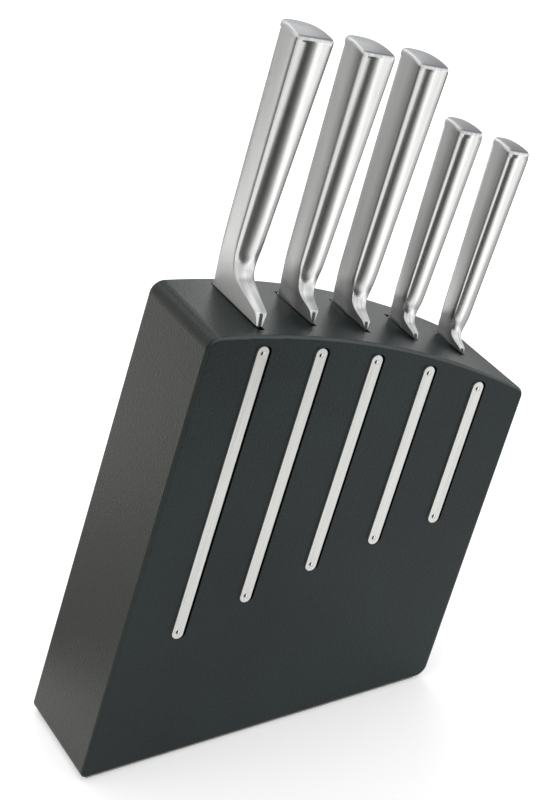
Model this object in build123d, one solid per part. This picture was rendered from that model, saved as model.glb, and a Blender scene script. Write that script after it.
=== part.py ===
# Leaning knife block with an arched top, five steel strips and five all-steel knives.
# Every piece is modelled upright, X across the slots, Y front to back, Z along the slots,
# with the block's lower left corner at the origin, then leaned over onto its base.
import os
from math import atan2, cos, pi, radians, sin, sqrt, tan

from build123d import *

# Block: outline across the slots, crowned top, base cut at the lean
lean = 18.0
block_width = 172.0
block_thickness = 62.0
crown_height = 228.5
crown_radius = 370.0
crown_offset = 58.5
corner_top_left = 7.0
corner_top_right = 5.0
corner_bottom_right = 7.0
corner_bottom_left = 2.5
edge_rounding = 1.8

# Slots: one per knife, left open between the boards by thin spacers
first_slot = 27.6
last_slot_margin = 26.8
slot_width = 3.0
tip_room = 0.3

# Anti-slip pad under the flat of the base
pad_thickness = 1.5
pad_inset = 0.3

# Steel strips on the front face and their sunk pins
strip_width = 5.5
strip_thickness = 1.0
strip_shift = -0.7
strip_top_margin = 4.6
first_strip_length = 146.2
strip_step = 18.2
strip_edge = 0.2
pin_inset = 3.4
pin_radius = 0.7
pin_length = 7.0
pin_sink = 0.4
countersink_radius = 1.25
countersink_depth = 0.6

# Blades: wedge section, thinner towards the tip, and the bread knife's scalloped edge
blade_thickness = 2.4
edge_thickness = 0.3
tip_thinning = 0.6
tang_width = 7.0
tang_share = 0.55
serration_pitch = 6.0
serration_depth = 1.1
serrated_share = 0.9

# Handles: crowned flanks and belly, rounded back, flared bolster, welded from two shells
bolster_gap = 0.5
bolster_spine = 3.0
foot_rake = 1.6
toe_radius = 3.2
bolster_slope = 72.0
neck_radius = 7.0
bolster_sections = 16
back_step = 0.8
handle_swell = 2.8
belly_crown = 1.7
nose_share = 0.6
flank_draw = 0.72
flank_crown = 0.05
back_round = 0.9
crease_radius = 2.8
crease_share = 0.45
shell_wall = 1.5

# Butt caps: domed plug with a rounded rim and a spigot inside the shells
cap_thickness = 4.0
cap_dome = 60.0
cap_edge = 1.8
cap_spigot = 4.0

# Blades from the left: wood left under the slot, width at the heel, spine behind the block's
# middle, slot length
blade_sizes = {
    "chef_knife": (18.6, 45.2, 23.4, 49.6),
    "bread_knife": (19.9, 32.8, 16.1, 36.9),
    "carving_knife": (19.6, 31.6, 16.2, 35.6),
    "utility_knife": (56.5, 24.2, 10.6, 28.4),
    "paring_knife": (81.3, 23.2, 11.3, 26.1),
}

# Their handles: length, thickness at the butt and at the neck, height of the neck, droop, then
# the bolster's foot: height, thickness at its top and at the blade's edge
handle_sizes = {
    "chef_knife": (125.6, 19.0, 12.8, 18.4, 1.8, 6.0, 5.6, 3.6),
    "bread_knife": (123.2, 17.2, 11.8, 18.0, 0.0, 6.0, 4.6, 1.2),
    "carving_knife": (122.7, 15.6, 11.6, 18.0, 0.0, 3.4, 4.2, 1.2),
    "utility_knife": (99.3, 13.2, 10.2, 12.6, 0.0, 2.8, 3.2, 1.2),
    "paring_knife": (98.8, 12.0, 9.6, 12.4, 0.0, 2.6, 3.0, 1.2),
}

# Share of the heel's width that is left at even steps from the heel to the tip
pointed_blade = (1.0, 0.96, 0.9, 0.81, 0.68, 0.47, 0.08)
parallel_blade = (1.0, 0.99, 0.97, 0.95, 0.92, 0.84, 0.35)

os.makedirs("parts", exist_ok=True)

half_depth = block_thickness / 2
base_slope = tan(radians(lean))
base_length = block_width / cos(radians(lean))
slot_pitch = (block_width - first_slot - last_slot_margin) / (len(blade_sizes) - 1)
seat = Location((-base_length / 2, 0, pad_thickness), (0, lean, 0))


def crown_at(across):
    return crown_height - crown_radius + sqrt(crown_radius**2 - (across - crown_offset) ** 2)


def slot_at(index):
    return first_slot + index * slot_pitch


def write(name, *solids):
    placed = [seat * solid for solid in solids]
    export_step(placed[0] if len(placed) == 1 else Compound(placed), f"parts/{name}.step")


def slab(across, depth, height):
    size = (across[1] - across[0], depth[1] - depth[0], height[1] - height[0])
    low = (across[0], depth[0], height[0])
    return Pos(*low) * Box(*size, align=(Align.MIN, Align.MIN, Align.MIN))


def round_corner(solid, corner, radius):
    upright = solid.edges().filter_by(Axis.Y).sort_by_distance((corner[0], 0, corner[1]))
    return fillet(upright[0], radius)


# Block: outline drawn out through its thickness, corners rounded, then both faces' edges eased
left_foot = (0, 0)
left_top = (0, crown_at(0))
crown_top = (crown_offset, crown_height)
right_top = (block_width, crown_at(block_width))
right_foot = (block_width, block_width * base_slope)
outline = ThreePointArc(left_top, crown_top, right_top)
outline += Polyline(right_top, right_foot, left_foot, left_top)
block = extrude(Plane.XZ * make_face(outline), half_depth, both=True)
block = round_corner(block, left_top, corner_top_left)
block = round_corner(block, right_top, corner_top_right)
block = round_corner(block, right_foot, corner_bottom_right)
block = round_corner(block, left_foot, corner_bottom_left)
broad_faces = block.faces().filter_by(Axis.Y)
block = fillet(broad_faces.edges(), edge_rounding)

# Boards: the block sawn along both walls of each slot
through = (-half_depth, half_depth)
rise = (0, crown_height)
half_slot = slot_width / 2
walls = [0]
for index in range(len(blade_sizes)):
    walls += [slot_at(index) - half_slot, slot_at(index) + half_slot]
walls.append(block_width)
for number, (left, right) in enumerate(zip(walls[0::2], walls[1::2]), 1):
    write(f"board_{number}", block & slab((left, right), through, rise))

# Anti-slip pad: the flat of the base, a little inset
left_round = corner_bottom_left / tan(radians(90 - lean) / 2)
right_round = corner_bottom_right / tan(radians(90 + lean) / 2)
pad_left = -base_length / 2 + left_round + pad_inset
pad_right = base_length / 2 - right_round - pad_inset
pad_back = half_depth - edge_rounding - pad_inset
pad = slab((pad_left, pad_right), (-pad_back, pad_back), (0, pad_thickness))
export_step(pad, "parts/base_pad.step")

# Pin: straight shank with a cone head, sunk in the strip's countersink
head_depth = countersink_depth - pin_sink
head_radius = pin_radius + (countersink_radius - pin_radius) * head_depth / countersink_depth
pin_outline = Polyline(
    (0, pin_sink),
    (head_radius, pin_sink),
    (pin_radius, countersink_depth),
    (pin_radius, pin_length),
    (0, pin_length),
    close=True,
)
pin = revolve(make_face(pin_outline), Axis.Y)
countersink = Pos(0, countersink_depth / 2, 0) * Rot(-90, 0, 0) * Cone(
    countersink_radius, pin_radius, countersink_depth
)
pin_hole = Pos(0, pin_length / 2, 0) * Rot(90, 0, 0) * Cylinder(pin_radius, pin_length)
strip_front = -half_depth - strip_thickness

pins = []
for index, (knife, sizes) in enumerate(blade_sizes.items()):
    under_slot, heel_width, spine, slot_length = sizes
    handle_length, butt_thickness, neck_thickness, neck_height, droop = handle_sizes[knife][:5]
    foot_height, shoulder_thickness, foot_thickness = handle_sizes[knife][5:]
    slot = slot_at(index)
    mouth = crown_at(slot)
    floor = slot * base_slope + under_slot
    blade_length = mouth + bolster_gap - floor - tip_room

    # Strip: flat bar with round ends, countersunk near each end
    strip_length = first_strip_length - index * strip_step
    strip_top = mouth - strip_top_margin
    strip_middle = strip_top - strip_length / 2
    strip_at = slot + strip_shift
    bar = Pos(strip_at, strip_middle) * SlotOverall(strip_length, strip_width, rotation=90)
    strip = Pos(0, -half_depth, 0) * extrude(Plane.XZ * bar, strip_thickness)
    strip = fillet(strip.faces().sort_by(Axis.Y)[0].edges(), strip_edge)
    pin_heights = (strip_top - pin_inset, strip_top - strip_length + pin_inset)
    pin_places = [Pos(strip_at, strip_front, height) for height in pin_heights]
    holes = [place * (pin_hole + countersink) for place in pin_places]
    write(f"strip_{index + 1}", strip - holes)
    pins += [place * pin for place in pin_places]

    # Spacers: in front of the slot, behind it and under the blade's tip
    between = (slot - half_slot, slot + half_slot)
    half_length = slot_length / 2
    front_spacer = block & slab(between, (-half_depth, -half_length), rise)
    back_spacer = block & slab(between, (half_length, half_depth), rise)
    floor_spacer = block & slab(between, (-half_length, half_length), (0, floor))
    write(f"slot_spacers_{index + 1}", front_spacer - holes, back_spacer, floor_spacer)

    # Blade: wedge sections from heel to tip, with a flat tang that runs up into the handle
    in_slot = Pos(slot, 0, mouth)
    shares = parallel_blade if knife == "bread_knife" else pointed_blade
    sections = []
    for step, width_share in enumerate(shares):
        along = step / (len(shares) - 1)
        half_spine = blade_thickness * (1 - tip_thinning * along) / 2
        half_edge = edge_thickness / 2
        edge = spine - heel_width * width_share
        wedge = Polyline(
            (-half_spine, spine),
            (half_spine, spine),
            (half_edge, edge),
            (-half_edge, edge),
            close=True,
        )
        sections.append(Pos(0, 0, bolster_gap - along * blade_length) * make_face(wedge))
    blade = loft(sections[::-1])
    neck_back = spine - back_step
    neck_front = neck_back - neck_height
    tang_middle = (neck_back + neck_front) / 2
    tang_top = handle_length * tang_share
    tang = slab(
        (-blade_thickness / 2, blade_thickness / 2),
        (tang_middle - tang_width / 2, tang_middle + tang_width / 2),
        (bolster_gap, tang_top),
    )
    if knife == "bread_knife":
        scallop_radius = (serration_pitch**2 / 4 + serration_depth**2) / (2 * serration_depth)
        scallop = Rot(0, 90, 0) * Cylinder(scallop_radius, slot_width)
        count = int(blade_length * serrated_share / serration_pitch)
        cuts = []
        for step in range(1, count):
            along = step * serration_pitch / blade_length * (len(shares) - 1)
            before = int(along)
            narrowing = shares[before] - shares[before + 1]
            edge = spine - heel_width * (shares[before] - narrowing * (along - before))
            drop = bolster_gap - step * serration_pitch
            cuts.append(Pos(0, edge + serration_depth - scallop_radius, drop) * scallop)
        blade -= cuts
    write(f"{knife}_blade", in_slot * (blade + tang))

    # Handle outline: the bolster's foot, a slope rounded at both ends, then belly and back swell
    heel = spine - heel_width
    toe = heel + foot_rake
    slope = radians(bolster_slope)
    rake = atan2(foot_rake, foot_height - bolster_gap)
    toe_length = min(toe_radius * tan((slope - rake) / 2), (foot_height - bolster_gap) / 2)
    toe_bend = toe_length / tan((slope - rake) / 2)
    toe_foot = foot_height - toe_length * cos(rake)
    toe_top = foot_height + toe_length * cos(slope)
    bend_depth = toe - toe_length * sin(rake) + toe_bend * cos(rake)
    bend_height = toe_foot - toe_bend * sin(rake)
    blend_length = neck_radius * tan(slope / 2)
    corner_height = foot_height + (neck_front - toe) / tan(slope)
    neck = corner_height + blend_length

    def swell_at(height):
        return (height - neck) / (handle_length - neck)

    def front_at(height):
        blend_foot = corner_height - blend_length * cos(slope)
        if height <= toe_foot:
            return heel + (height - bolster_gap) * tan(rake)
        if height <= toe_top:
            return bend_depth - sqrt(toe_bend**2 - (height - bend_height) ** 2)
        if height <= blend_foot:
            return toe + (height - foot_height) * tan(slope)
        if height < neck:
            return neck_front - neck_radius + sqrt(neck_radius**2 - (neck - height) ** 2)
        return neck_front - (handle_swell + droop) * swell_at(height)

    def back_at(height):
        if height < neck:
            return spine - back_step * (height - bolster_gap) / (neck - bolster_gap)
        return neck_back + (handle_swell - droop) * swell_at(height)

    def half_width_at(height):
        if height <= foot_height:
            flare = (height - bolster_gap) / (foot_height - bolster_gap)
            return (foot_thickness + (shoulder_thickness - foot_thickness) * flare) / 2
        if height < neck:
            flare = sin(pi / 2 * (height - foot_height) / (neck - foot_height))
            return (shoulder_thickness + (neck_thickness - shoulder_thickness) * flare) / 2
        return (neck_thickness + (butt_thickness - neck_thickness) * swell_at(height)) / 2

    def section(height, inset=0):
        half_width = half_width_at(height) - inset
        front = front_at(height) + inset
        back = back_at(height) - inset
        half_back = max(half_width * flank_draw, bolster_spine / 2)
        middle = (front + back) / 2
        bulge = (half_width + half_back) / 2 + half_width * flank_crown
        belly = front - min(belly_crown, half_width * nose_share)
        lines = ThreePointArc((-half_width, front), (0, belly), (half_width, front))
        lines += ThreePointArc((half_width, front), (bulge, middle), (half_back, back))
        lines += Line((half_back, back), (-half_back, back))
        lines += ThreePointArc((-half_back, back), (-bulge, middle), (-half_width, front))
        shape = make_face(lines)
        crease = min(crease_radius, half_width * crease_share)
        shape = fillet(shape.vertices().sort_by(Axis.Y)[:2], crease)
        shape = fillet(shape.vertices().sort_by(Axis.Y)[-2:], half_back * back_round)
        return Pos(0, 0, height) * shape

    # Shells: lofted over the outline, hollowed above the neck, sawn in two along the weld
    shell_top = handle_length - cap_thickness
    rise_step = (neck - bolster_gap) / bolster_sections
    bolster_heights = [bolster_gap + step * rise_step for step in range(bolster_sections + 1)]
    bolster = loft([section(height) for height in bolster_heights])
    shell = bolster + loft([section(neck), section(shell_top)])
    hollow_foot = neck + shell_wall
    hollow = loft([section(hollow_foot, shell_wall), section(shell_top, shell_wall)])
    shell -= [hollow, tang]
    left_half = slab((-half_depth, 0), through, (0, handle_length))
    right_half = slab((0, half_depth), through, (0, handle_length))
    write(f"{knife}_handle_left", in_slot * (shell & left_half))
    write(f"{knife}_handle_right", in_slot * (shell & right_half))

    # Butt cap: follows the handle's outline, slightly domed, with a spigot between the shells
    cap = loft([section(shell_top), section(handle_length)])
    cap_middle = (front_at(handle_length) + back_at(handle_length)) / 2
    cap &= Pos(0, cap_middle, handle_length - cap_dome) * Sphere(cap_dome)
    cap = fillet(cap.faces().sort_by(Axis.Z)[-1].edges(), cap_edge)
    spigot = loft([section(shell_top - cap_spigot, shell_wall), section(shell_top, shell_wall)])
    write(f"{knife}_butt_cap", in_slot * (cap + spigot))

write("strip_pins", *pins)
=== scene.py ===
from math import cos, radians, sin, tan

import bmesh
import bpy
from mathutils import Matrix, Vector


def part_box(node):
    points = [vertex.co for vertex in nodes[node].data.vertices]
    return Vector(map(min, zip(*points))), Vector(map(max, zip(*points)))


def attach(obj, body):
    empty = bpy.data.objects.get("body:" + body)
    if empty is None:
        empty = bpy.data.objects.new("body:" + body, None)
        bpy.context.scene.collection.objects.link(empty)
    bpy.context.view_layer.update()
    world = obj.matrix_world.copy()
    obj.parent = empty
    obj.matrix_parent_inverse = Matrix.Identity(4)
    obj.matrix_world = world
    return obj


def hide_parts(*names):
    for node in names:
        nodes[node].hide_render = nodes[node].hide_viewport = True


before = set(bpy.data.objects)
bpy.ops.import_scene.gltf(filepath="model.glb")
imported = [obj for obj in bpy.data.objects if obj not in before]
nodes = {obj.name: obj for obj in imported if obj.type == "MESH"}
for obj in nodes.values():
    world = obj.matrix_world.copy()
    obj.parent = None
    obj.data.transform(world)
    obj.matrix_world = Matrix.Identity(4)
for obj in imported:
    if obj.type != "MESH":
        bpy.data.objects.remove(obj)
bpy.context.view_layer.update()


# Anti-slip pad: a thin sheet of grey foam rubber glued under the flat of the base.
# Its cut edge shows as a fine paler line under the block, slightly mottled by open cells.
foam_dark = (0.30, 0.29, 0.27)
foam_pale = (0.46, 0.45, 0.43)
foam_cell_scale = 900.0
foam_cell_depth = 0.0004


class Shade:
    """A socket of a material, so that shader maths reads as plain expressions."""

    def __init__(self, tree, socket=None):
        self.tree = tree
        self.socket = socket

    def node(self, kind, settings=None, links=None, output=0):
        """An output of a new node, whose settings are made before its sockets are fed."""
        made = self.tree.nodes.new(kind)
        for name, value in (settings or {}).items():
            if name == "stops":
                ramp = made.color_ramp.elements
                while len(ramp) < len(value):
                    ramp.new(1.0)
                for stop, (place, tone) in zip(ramp, value):
                    stop.position = place
                    stop.color = (*tone, 1.0)
            else:
                setattr(made, name, value)
        for name, value in (links or {}).items():
            if isinstance(value, Shade):
                self.tree.links.new(value.socket, made.inputs[name])
            else:
                made.inputs[name].default_value = value
        return Shade(self.tree, made.outputs[output])

    def maths(self, operation, left, right):
        return self.node("ShaderNodeMath", {"operation": operation}, {0: left, 1: right})

    def __add__(self, other):
        return self.maths("ADD", self, other)

    __radd__ = __add__

    def __sub__(self, other):
        return self.maths("SUBTRACT", self, other)

    def __rsub__(self, other):
        return self.maths("SUBTRACT", other, self)

    def __mul__(self, other):
        return self.maths("MULTIPLY", self, other)

    __rmul__ = __mul__


def new_finish(name):
    finish = bpy.data.materials.new(name)
    finish.use_nodes = True
    tree = finish.node_tree
    return finish, Shade(tree), tree.nodes["Principled BSDF"].inputs


def feed(inputs, **values):
    for name, value in values.items():
        socket = inputs[name.replace("_", " ")]
        if isinstance(value, Shade):
            value.tree.links.new(value.socket, socket)
        else:
            socket.default_value = value


def dress(finish, *names):
    for name in names:
        nodes[name].data.materials.clear()
        nodes[name].data.materials.append(finish)


def on_piece(shade):
    """The place on a piece, in metres."""
    return shade.node("ShaderNodeTexCoord", output="Object")


def speckle(shade, place, scale, detail=2.0):
    return shade.node(
        "ShaderNodeTexNoise", links={"Vector": place, "Scale": scale, "Detail": detail}
    )


def tone_ramp(shade, value, *stops):
    """Tones along a value, where each stop has its place and its tone."""
    return shade.node("ShaderNodeValToRGB", {"stops": stops}, {"Fac": value})


def relief(shade, height, strength, depth):
    return shade.node(
        "ShaderNodeBump", links={"Height": height, "Strength": strength, "Distance": depth}
    )


pad_finish, pad, pad_inputs = new_finish("grey_foam_rubber")
pad_cells = speckle(pad, on_piece(pad), foam_cell_scale, detail=3.0)
feed(
    pad_inputs,
    Base_Color=tone_ramp(pad, pad_cells, (0.35, foam_dark), (0.65, foam_pale)),
    Roughness=0.85,
    Normal=relief(pad, pad_cells, 0.4, foam_cell_depth),
)
dress(pad_finish, "base_pad")


# Block: six boards and the thin spacers between them, glued up, sanded to one form and sprayed
# with a matt black lacquer, slightly blue-green, that shows the fine orange peel of the spray gun.
# A painted highlight lies along the front top edge, and a painted warm tint of the light on the
# left side.
lean = radians(18.0)
up_lean = Vector((sin(lean), 0.0, cos(lean)))
across_lean = Vector((cos(lean), 0.0, -sin(lean)))
to_front = Vector((0.0, -1.0, 0.0))
lacquer_deep = (0.0003, 0.0040, 0.0040)
lacquer_pale = (0.0052, 0.0145, 0.0145)
left_light_tint = (0.0100, 0.0130, 0.0062)
lacquer_edge_highlight = (0.060, 0.070, 0.072)
peel_scale = 1250.0
peel_depth = 0.00035
cloud_scale = 14.0


def facing(shade, direction):
    """How squarely the surface faces a direction, from -1 to 1."""
    normal = shade.node("ShaderNodeTexCoord", output="Normal")
    return shade.node(
        "ShaderNodeVectorMath",
        {"operation": "DOT_PRODUCT"},
        {0: normal, 1: direction},
        output="Value",
    )


def mask(shade, value, start, end, rise="LINEAR"):
    """0 where the value is at the start, 1 where it is at the end."""
    return shade.node(
        "ShaderNodeMapRange",
        {"interpolation_type": rise},
        {"Value": value, "From Min": start, "From Max": end},
    )


def soft_mask(shade, value, start, end):
    return mask(shade, value, start, end, "SMOOTHSTEP")


def tint(shade, share, under, over):
    """One tone with a share of another laid over it."""
    if not isinstance(over, Shade):
        over = (*over, 1.0)
    return shade.node(
        "ShaderNodeMix",
        {"data_type": "RGBA"},
        {"Factor": share, "A": under, "B": over},
        output="Result",
    )


lacquer, spray, lacquer_inputs = new_finish("matt_black_lacquer")
spray_peel = speckle(spray, on_piece(spray), peel_scale)
spray_cloud = speckle(spray, on_piece(spray), cloud_scale, detail=3.0)
spray_tone = tone_ramp(
    spray, spray_cloud * 0.5 + spray_peel * 0.5, (0.32, lacquer_deep), (0.68, lacquer_pale)
)
# Painted light: a warm tint of the light where the surface faces left
left_side = mask(spray, facing(spray, -across_lean), 0.6, 0.95)
# Painted highlight: the base tone is paler where the surface turns from the front to the top
top_edge_highlight = soft_mask(spray, facing(spray, to_front) * facing(spray, up_lean), 0.15, 0.48)
spray_tone_with_side_light = tint(spray, left_side, spray_tone, left_light_tint)
feed(
    lacquer_inputs,
    Base_Color=tint(spray, top_edge_highlight, spray_tone_with_side_light, lacquer_edge_highlight),
    Roughness=0.24 + 0.12 * spray_peel,
    IOR=1.38,
    Normal=relief(spray, spray_peel, 0.6, peel_depth),
)
boards = [f"board_{number}" for number in range(1, 7)]
spacers = [f"slot_spacers_{number}" for number in range(1, 6)]
dress(lacquer, *boards, *spacers)


# Strips: five bars of stainless steel, brushed lengthwise, laid on the front face under the
# slots, one to each knife.
strip_dark = (0.54, 0.542, 0.525)
strip_pale = (0.70, 0.702, 0.68)
strip_lines = (5200.0, 5200.0, 45.0)
brush_depth = 0.0001


def on_lean(shade):
    """The place on a piece, with X across the lean and Z up along it."""
    return shade.node(
        "ShaderNodeMapping", links={"Vector": on_piece(shade), "Rotation": (0.0, -lean, 0.0)}
    )


def brushing(shade, place, lines, detail=3.0):
    """Brush marks, with so many lines to the metre in X, Y and Z."""
    drawn_out = shade.node("ShaderNodeMapping", links={"Vector": place, "Scale": lines})
    return speckle(shade, drawn_out, 1.0, detail)


strip_finish, strip, strip_inputs = new_finish("brushed_strip_steel")
strip_brush = brushing(strip, on_lean(strip), strip_lines)
feed(
    strip_inputs,
    Base_Color=tone_ramp(strip, strip_brush, (0.3, strip_dark), (0.7, strip_pale)),
    Metallic=1.0,
    Roughness=0.30 + 0.12 * strip_brush,
    Normal=relief(strip, strip_brush, 0.12, brush_depth),
)
strip_count = 5
strip_numbers = range(1, strip_count + 1)
dress(strip_finish, *[f"strip_{number}" for number in strip_numbers])


# Painted shadow: a thin black sheet cut to each strip's outline and laid on the front face a little
# to its right, where it shows as a fine dark shadow line beside the strip.
strip_width = 0.0055
first_strip_length = 0.1462
strip_step = 0.0182
shadow_sheet_thickness = 0.00008
shadow_shift = 0.0018
shadow_black = (0.001, 0.001, 0.001)
shadow_grey = (0.003, 0.003, 0.003)
shadow_grain_scale = 2000.0
# A hair under half the width, so that the two round corners of an end don't run into each other
end_rounding = 0.499
block_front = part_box("board_1")[0][1]
shadow_paint_finish, shadow_paint, shadow_paint_inputs = new_finish("black_painted_shadow")
shadow_grain = speckle(shadow_paint, on_piece(shadow_paint), shadow_grain_scale)
feed(
    shadow_paint_inputs,
    Base_Color=tone_ramp(shadow_paint, shadow_grain, (0.3, shadow_black), (0.7, shadow_grey)),
    Roughness=0.95,
    IOR=1.04,
)


def strip_length(number):
    return first_strip_length - strip_step * (number - 1)


def strip_middle(number):
    low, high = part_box(f"strip_{number}")
    return (Vector(low) + Vector(high)) / 2


# One painted shadow sheet to each strip
for number in strip_numbers:
    bpy.ops.object.select_all(action="DESELECT")
    bpy.ops.mesh.primitive_plane_add(size=1.0)
    shadow_sheet = bpy.context.object
    shadow_sheet.name = f"strip_painted_shadow_{number}"
    bpy.ops.object.mode_set(mode="EDIT")
    bpy.ops.mesh.select_all(action="SELECT")
    shadow_sheet_size = (strip_width, strip_length(number), 1.0)
    bpy.ops.transform.resize(value=shadow_sheet_size, center_override=(0.0, 0.0, 0.0))
    bpy.ops.mesh.bevel(offset=strip_width * end_rounding, segments=8, affect="VERTICES")
    bpy.ops.object.mode_set(mode="OBJECT")
    sheet = shadow_sheet.modifiers.new("shadow_sheet_thickness", "SOLIDIFY")
    sheet.thickness = shadow_sheet_thickness
    sheet.offset = -1.0
    bpy.ops.object.modifier_apply(modifier=sheet.name)
    shadow_sheet.rotation_euler = (radians(90.0), lean, 0.0)
    middle = strip_middle(number) + across_lean * shadow_shift
    shadow_sheet.location = (middle.x, block_front - shadow_sheet_thickness, middle.z)
    bpy.ops.object.transform_apply(location=True, rotation=True, scale=False)
    shadow_sheet.data.materials.append(shadow_paint_finish)
    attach(shadow_sheet, "block")


# Pins: small steel nails with dished heads, driven through the strips and sunk below their faces.
# Each head has a painted shade on its left half and a painted highlight on its right half.
pin_painted_shade = (0.02, 0.02, 0.02)
pin_shade_grey = (0.10, 0.10, 0.10)
pin_painted_highlight = (0.95, 0.95, 0.95)
pin_blend = 0.0006
pin_mark_scale = 3000.0
first_pin = strip_middle(1).dot(across_lean)
pin_pitch = (strip_middle(strip_count).dot(across_lean) - first_pin) / (strip_count - 1)


def one_axis(shade, place, axis):
    return shade.node("ShaderNodeSeparateXYZ", links={"Vector": place}, output=axis)


def from_middle(shade, across, first, pitch):
    """How far a place lies to the right of the middle of the piece it is on, in an even row."""
    along_row = across + (pitch / 2 - first)
    return shade.maths("MODULO", along_row, pitch) - pitch / 2


pin_finish, pin, pin_inputs = new_finish("sunk_pin_steel")
pin_across = from_middle(pin, one_axis(pin, on_lean(pin), "X"), first_pin, pin_pitch)
pin_shade_to_highlight = mask(pin, pin_across, -pin_blend, pin_blend)
pin_marks = speckle(pin, on_piece(pin), pin_mark_scale)
feed(
    pin_inputs,
    # Painted shade on the left of each head, painted highlight on the right
    Base_Color=tone_ramp(pin, pin_shade_to_highlight, (0.35, pin_painted_shade), (0.55, pin_shade_grey), (0.75, pin_painted_highlight)),
    Metallic=1.0,
    Roughness=0.28 + 0.15 * pin_marks,
)
dress(pin_finish, "strip_pins")


# Blades: ground from stainless steel and satin finished across their width. Each has a flat tang
# that runs up between the shells of its handle.
knives = ["chef_knife", "bread_knife", "carving_knife", "utility_knife", "paring_knife"]
blade_dark = (0.60, 0.60, 0.59)
blade_pale = (0.70, 0.70, 0.69)
blade_lines = (400.0, 30.0, 3600.0)
blade_finish, blade, blade_inputs = new_finish("satin_blade_steel")
blade_brush = brushing(blade, on_lean(blade), blade_lines)
feed(
    blade_inputs,
    Base_Color=tone_ramp(blade, blade_brush, (0.3, blade_dark), (0.7, blade_pale)),
    Metallic=1.0,
    Roughness=0.24 + 0.14 * blade_brush,
    Normal=relief(blade, blade_brush, 0.10, brush_depth),
)
dress(blade_finish, *[f"{knife}_blade" for knife in knives])


# Handles: two pressed stainless shells to each knife, welded along belly and back and ground flush
# into one form, which flares to the blade's heel in a bolster. The flanks are satin, brushed along
# the handle, and the belly is polished.
mm = 0.001

# In mm: length, thickness at the butt and at the neck, depth of the neck, droop, then the
# bolster's foot: height, thickness at its top and at the blade's edge
handle_sizes = {
    "chef_knife": (125.6, 19.0, 12.8, 18.4, 1.8, 6.0, 6.2, 3.6),
    "bread_knife": (123.2, 17.2, 11.8, 18.0, 0.0, 6.0, 4.8, 1.4),
    "carving_knife": (122.7, 15.6, 11.6, 18.0, 0.0, 3.8, 4.4, 1.4),
    "utility_knife": (99.3, 13.2, 10.2, 12.6, 0.0, 2.8, 3.4, 1.4),
    "paring_knife": (98.8, 12.0, 9.6, 12.4, 0.0, 2.6, 3.2, 1.4),
}

# In mm: the spine behind the block's middle, and the blade's width at the heel
heel_sizes = {
    "chef_knife": (23.4, 45.2),
    "bread_knife": (16.1, 32.8),
    "carving_knife": (16.2, 31.6),
    "utility_knife": (10.6, 24.2),
    "paring_knife": (11.3, 23.2),
}

# Along the handle, in mm or as shares: the bolster's foot and slope, the back, the neck, the
# swell towards the butt and the cap
bolster_gap = 0.5
bolster_slope = radians(72.0)
nose_rake = 0.9
nose_share = 0.6
foot_rake = 1.6
slope_start = 0.1
longest_bend = 11.0
bend_share = 0.8
back_step = 0.8
back_heights = [(0.0, bolster_gap), (0.1, 2.0), (0.2, 4.0), (0.3, 6.0), (0.5, 8.5)]
back_rise = 1.0
neck_rise = 5.0
handle_swell = 2.8
cap_height = 4.0
grip_shares = (0.0, 0.08, 0.35, 0.7, 0.97, 1.0)

# Round the handle, in mm or as shares of the half width: the crowned belly, the crease beside it
# and the narrower back
belly_crown = 0.2
full_crown = 1.7
crown_set_out = 0.7
slim_half = 3.0
widest_crease = 3.4
crease_share = 0.36
crease_turn = 0.9
flank_draw = 0.72
least_half_back = 1.0
cage_points = 16


def handle_stations(knife):
    """Where the belly and the back run, and how wide they are, from the foot to the cap."""
    length, butt, neck, depth, droop, foot, shoulder, edge = handle_sizes[knife]
    spine, heel_width = heel_sizes[knife]
    heel = spine - heel_width
    toe = heel + foot_rake
    neck_back = spine - back_step
    neck_front = neck_back - depth
    run = neck_front - toe
    corner = foot + run / tan(bolster_slope)
    climb = corner - foot
    bend = min(longest_bend, run * bend_share)
    neck_height = corner + neck_rise

    def rise(height):
        return max(height - neck_height, 0.0) / (length - neck_height)

    def width(height):
        if height < foot:
            return edge + (shoulder - edge) * (height - bolster_gap) / (foot - bolster_gap)
        if height < neck_height:
            return shoulder + (neck - shoulder) * (height - foot) / (neck_height - foot)
        return neck + (butt - neck) * rise(height)

    bellies = [
        (heel, bolster_gap),
        (heel + nose_rake, bolster_gap + (foot - bolster_gap) * nose_share),
        (toe, foot),
        (toe + run * slope_start, foot + climb * slope_start),
        (neck_front - bend * sin(bolster_slope), corner - bend * cos(bolster_slope)),
        (neck_front, corner),
    ]
    backs = [(spine - step, height) for step, height in back_heights]
    backs.append((neck_back, corner + back_rise))
    lift = corner + bend
    top = length - cap_height
    for share in grip_shares:
        height = lift + (top - lift) * share
        bellies.append((neck_front - (handle_swell + droop) * rise(height), height))
        backs.append((neck_back + (handle_swell - droop) * rise(height), height))
    return [
        (belly, back, width(belly[1]) / 2, width(back[1]) / 2)
        for belly, back in zip(bellies, backs)
    ]


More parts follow.
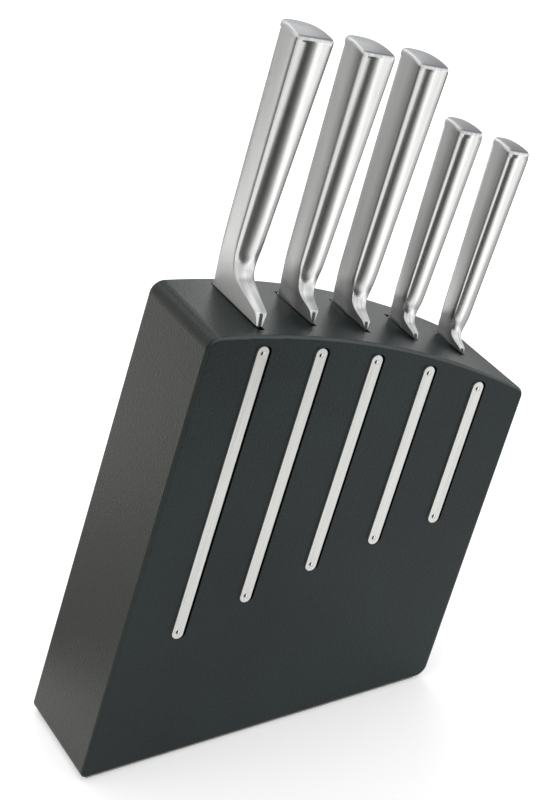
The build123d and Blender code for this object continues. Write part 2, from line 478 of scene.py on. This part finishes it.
def handle_outline(station):
    """Half widths, depths and heights of the cage's rows, from the belly's middle to the back's.

    Some rows stand a little outside the form, because smoothing draws the cage in."""
    (front, low), (back, high), half_front, half_behind = station
    half_back = max(half_behind * flank_draw, least_half_back)
    crown = half_front * belly_crown
    fullness = min(max(half_front - slim_half, 0.0) / slim_half, 1.0)
    front -= (full_crown - crown) * crown_set_out * fullness
    crease = min(widest_crease, half_front * crease_share)
    shoulder = half_front - crease * crease_turn
    reach = back - front
    rows = [
        (0.0, -crown * 1.06),
        (half_front * 0.45, -crown * 0.86),
        (shoulder, -crown * (1.0 - (shoulder / half_front) ** 2)),
        (half_front, 0.0),
        (half_front * 1.02, crease),
        ((half_front + half_back) / 2 + half_front * 0.05, reach / 2),
        (half_back * 1.17, reach - half_back * 0.95),
        (half_back * 0.86, reach - half_back * 0.14),
        (0.0, reach + half_back * 0.06),
    ]
    return [
        (wide, front + deep, low + (high - low) * max(deep, 0.0) / reach) for wide, deep in rows
    ]


def pull_row(row, wide, deep, high):
    """Moves a middle point, or the pair of points of one row, to its place in the outline."""
    bpy.ops.mesh.select_all(action="DESELECT")
    for vert in row:
        vert.select_set(True)
    now = row[0].co.copy()
    if len(row) == 2:
        spread = wide * mm / abs(now.x)
        bpy.ops.transform.resize(value=(spread, 1.0, 1.0), center_override=(0.0, 0.0, 0.0))
    bpy.ops.transform.translate(value=(0.0, deep * mm - now.y, high * mm - now.z))


def model_handle(knife, place):
    """Draws a ring up through the stations, smooths the cage and stands it in its slot."""
    bpy.ops.object.select_all(action="DESELECT")
    bpy.ops.mesh.primitive_circle_add(vertices=cage_points, radius=0.01)
    handle = bpy.context.object
    handle.name = f"{knife}_handle"
    bpy.ops.object.mode_set(mode="EDIT")
    bpy.ops.mesh.select_mode(type="VERT")
    stations = handle_stations(knife)
    for level, station in enumerate(stations, 1):
        cage = bmesh.from_edit_mesh(handle.data)
        ring = sorted((vert for vert in cage.verts if vert.select), key=lambda vert: vert.co.y)
        for number, (wide, deep, high) in enumerate(handle_outline(station)):
            pull_row(ring[max(2 * number - 1, 0):2 * number + 1], wide, deep, high)
        for vert in ring:
            vert.select_set(True)
        cage.select_flush_mode()
        cage.select_flush(True)
        if level < len(stations):
            bpy.ops.mesh.extrude_region_move(TRANSFORM_OT_translate={"value": (0.0, 0.0, mm)})
    bpy.ops.mesh.select_all(action="DESELECT")
    bpy.ops.mesh.select_non_manifold()
    bpy.ops.transform.edge_crease(value=1.0)
    bpy.ops.mesh.fill_holes(sides=0)
    bpy.ops.mesh.select_all(action="SELECT")
    bpy.ops.mesh.normals_make_consistent(inside=False)
    bpy.ops.object.mode_set(mode="OBJECT")
    smooth = handle.modifiers.new("ground_form", "SUBSURF")
    smooth.levels = 3
    smooth.render_levels = 3
    bpy.ops.object.modifier_apply(modifier=smooth.name)
    bpy.ops.object.shade_smooth_by_angle(angle=radians(50.0))
    handle.location = place
    handle.rotation_euler = (0.0, lean, 0.0)
    bpy.ops.object.transform_apply(location=True, rotation=True, scale=False)
    return handle


# Each slot's mouth is above the top end of its strip, a little to the right
strip_top_margin = 0.0046
strip_shift = -0.0007


def slot_mouth(number):
    above = strip_length(number) / 2 + strip_top_margin
    mouth = strip_middle(number) + up_lean * above - across_lean * strip_shift
    return Vector((mouth.x, 0.0, mouth.z))


shell_dark = (0.60, 0.60, 0.585)
shell_pale = (0.70, 0.70, 0.685)
shell_lines = (3200.0, 3200.0, 40.0)
slope_dark = (0.60, 0.605, 0.61)
slope_painted_highlight = (0.93, 0.93, 0.93)
slope_lines = (750.0, 25.0, 25.0)
shaded_flank = (0.12, 0.125, 0.125)
shaded_share = 0.65
nose_reflection_dark = (0.07, 0.075, 0.078)
stripe_shift = -0.0002
butt_painted_shade = (0.195, 0.199, 0.205)
first_knife = slot_mouth(1).dot(across_lean)
last_knife = slot_mouth(len(knives)).dot(across_lean)
knife_pitch = (last_knife - first_knife) / (len(knives) - 1)
handle_finish, grip, grip_inputs = new_finish("satin_and_polished_handle_steel")
grip_place = on_lean(grip)
grip_across = one_axis(grip, grip_place, "X")
grip_depth = one_axis(grip, grip_place, "Y")
grip_height = one_axis(grip, grip_place, "Z")
facing_right = facing(grip, across_lean)
facing_front = facing(grip, to_front)
facing_up = facing(grip, up_lean)

# Satin shells, and brush streaks down the bolster's slope, with a painted highlight that makes the
# slope paler where it faces up
shell_brush = brushing(grip, grip_place, shell_lines)
shell_tone = tone_ramp(grip, shell_brush, (0.3, shell_dark), (0.7, shell_pale))
slope_brush = brushing(grip, grip_place, slope_lines, detail=2.0)
slope_streaks_and_highlight = tone_ramp(grip, slope_brush, (0.35, slope_dark), (0.65, slope_painted_highlight))
flank = soft_mask(grip, facing_right * facing_right, 0.84, 0.96)
slope = soft_mask(grip, facing_up, -0.12, 0.30)
underside = soft_mask(grip, facing_up * -1.0, 0.04, 0.22)

# Painted shade: the left flank darkens towards the belly on every knife that stands beside a larger
# one
near_belly = soft_mask(grip, grip_depth, 0.005, -0.004)
left_flank = mask(grip, facing_right * -1.0, 0.75, 0.92)
first_gap = first_knife + knife_pitch / 2
gap_blend = knife_pitch * 0.1
beside_knife = mask(grip, grip_across, first_gap - gap_blend, first_gap + gap_blend)
shading = near_belly * left_flank * beside_knife * shaded_share

# A painted dark reflection runs down the nose of each bolster as a stripe, whose height follows the
# block's arched top
nose_height = 0.2051
nose_fall = 0.118
nose_curve = 1.03
nose_top = nose_height - grip_across * nose_fall - grip_across * grip_across * nose_curve
on_nose = mask(grip, nose_top - grip_height, -0.0002, 0.0006)
from_stripe = from_middle(grip, grip_across, first_knife, knife_pitch) - stripe_shift
beside_stripe = grip.node("ShaderNodeMath", {"operation": "ABSOLUTE"}, {0: from_stripe})
on_reflection_stripe = mask(grip, beside_stripe, 0.0011, 0.0006)
nose_face = mask(grip, facing_front, 0.55, 0.75)

# The butt is ground flat, and its flat carries a painted shade, greyer than the steel around it
near_butt = mask(grip, grip_height, 0.24, 0.26)
ground_flat = soft_mask(grip, facing_up, 0.45, 0.92)

flank_tone = tint(grip, shading, shell_tone, shaded_flank)
bolster_tone = tint(grip, slope, flank_tone, slope_streaks_and_highlight)
nose_tone = tint(grip, on_nose * on_reflection_stripe * nose_face, bolster_tone, nose_reflection_dark)
feed(
    grip_inputs,
    Base_Color=tint(grip, near_butt * ground_flat, nose_tone, butt_painted_shade),
    Metallic=1.0 - 0.7 * underside,
    Roughness=0.15 + slope * 0.20 + flank * (0.13 + 0.12 * shell_brush) + underside * 0.2,
    Normal=relief(grip, shell_brush * flank, 0.12, brush_depth),
)
for number, knife in enumerate(knives, 1):
    handle = model_handle(knife, slot_mouth(number))
    handle.data.materials.append(handle_finish)
    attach(handle, knife)
    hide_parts(f"{knife}_handle_left", f"{knife}_handle_right")


# Butt caps: stainless plugs with an eased rim, set into the open ends of the shells and ground
# flush with them, so that both share one finish.
dress(handle_finish, *[f"{knife}_butt_cap" for knife in knives])


# Studio: a pale floor under the block, a white surround, a large soft box behind and a weak one on
# the right. Cards that the camera doesn't see lie and stand around, where lacquer and steel mirror
# them.
bpy.context.scene.view_settings.view_transform = "Standard"
floor_grey = (0.92, 0.92, 0.92)
floor_pale = (0.94, 0.94, 0.94)
floor_cloud_scale = 3.0
bpy.ops.object.select_all(action="DESELECT")
bpy.ops.mesh.primitive_plane_add(size=8.0, location=(0.0, 0.0, 0.0))
floor = bpy.context.object
floor.name = "studio_floor"
floor_finish, ground, floor_inputs = new_finish("pale_studio_floor")
ground_cloud = speckle(ground, on_piece(ground), floor_cloud_scale)
floor_tone = tone_ramp(ground, ground_cloud, (0.3, floor_grey), (0.7, floor_pale))
feed(
    floor_inputs,
    Base_Color=floor_tone,
    Roughness=0.8,
    Emission_Color=floor_tone,
    Emission_Strength=0.38,
)
floor.data.materials.append(floor_finish)

surround = bpy.data.worlds.new("white_surround")
bpy.context.scene.world = surround
surround.use_nodes = True
feed(
    surround.node_tree.nodes["Background"].inputs,
    Color=(1.0, 1.0, 1.0, 1.0),
    Strength=0.82,
)
lit_point = Vector((0.03, 0.0, 0.15))


def soft_box(name, place, size, power):
    lamp = bpy.data.lights.new(name, "AREA")
    lamp.size = size
    lamp.energy = power
    box = bpy.data.objects.new(name, lamp)
    bpy.context.scene.collection.objects.link(box)
    box.location = place
    aim = lit_point - Vector(place)
    box.rotation_euler = aim.to_track_quat("-Z", "Y").to_euler()


soft_box("key_soft_box", (0.5, 1.3, 1.15), 1.4, 10.0)
soft_box("edge_soft_box", (1.1, -0.55, 1.15), 1.2, 1.0)


def lying(turn):
    return (0.0, 0.0, radians(turn))


def standing(turn):
    return (radians(90.0), 0.0, radians(turn))


def even(tone):
    return [(0.0, tone), (1.0, tone)]


def mirrored_card(name, place, turn, size, greys, glow=0.0):
    bpy.ops.object.select_all(action="DESELECT")
    bpy.ops.mesh.primitive_plane_add(size=1.0, location=place, rotation=turn)
    card = bpy.context.object
    card.name = name
    card.scale = (*size, 1.0)
    finish, cloth, inputs = new_finish(f"{name}_cloth")
    across = one_axis(cloth, on_piece(cloth), "X") + 0.5
    tone = tone_ramp(cloth, across, *[(stop, (grey,) * 3) for stop, grey in greys])
    feed(inputs, Base_Color=tone, Roughness=0.9, Emission_Color=tone, Emission_Strength=glow)
    card.data.materials.append(finish)
    card.visible_camera = False
    card.visible_diffuse = False
    card.visible_shadow = False


front_fade = [(0.0, 0.02), (0.58, 0.025), (0.74, 0.25), (0.86, 0.9)]
right_fade = [(0.0, 0.75), (0.2, 0.62), (0.36, 0.12), (1.0, 0.05)]
mirrored_card("dark_floor_card", (0.275, -1.116, 0.004), lying(18.0), (0.60, 1.50), front_fade)
mirrored_card(
    "bright_floor_card", (0.385, -0.575, 0.005), lying(18.0), (0.10, 0.75), even(0.9), glow=0.85
)
mirrored_card("dark_back_card", (0.48, 0.42, 0.004), lying(-40.0), (0.95, 0.7), even(0.05))
mirrored_card("left_flag", (-0.95, 0.45, 0.3), standing(65.0), (0.9, 0.9), even(0.12))
mirrored_card("flank_flag", (0.045, 0.16, 0.27), standing(38.0), (0.16, 0.22), even(0.58))
mirrored_card("left_floor_card", (-0.22, 0.17, 0.004), lying(38.0), (0.26, 0.28), even(0.6))
mirrored_card("right_floor_card", (0.40, 0.09, 0.006), lying(90.0), (0.62, 0.34), right_fade)


# Camera: a long lens that looks down on the block from the left of its front. Its place and turn
# are fitted to the block's edges in the photograph.
camera_place = (-0.37529, -0.80641, 0.67581)
camera_turn = radians(26.4234)
camera_tilt = radians(29.968)
sensor_height = 36.0
focal_length = 103.243
lens = bpy.data.cameras.new("photo_camera")
lens.sensor_fit = "VERTICAL"
lens.sensor_height = sensor_height
lens.lens = focal_length
lens.clip_start = 0.05
viewer = bpy.data.objects.new("photo_camera", lens)
bpy.context.scene.collection.objects.link(viewer)
viewer.location = camera_place
viewer.rotation_euler = (radians(90.0) - camera_tilt, 0.0, -camera_turn)
bpy.context.scene.camera = viewer
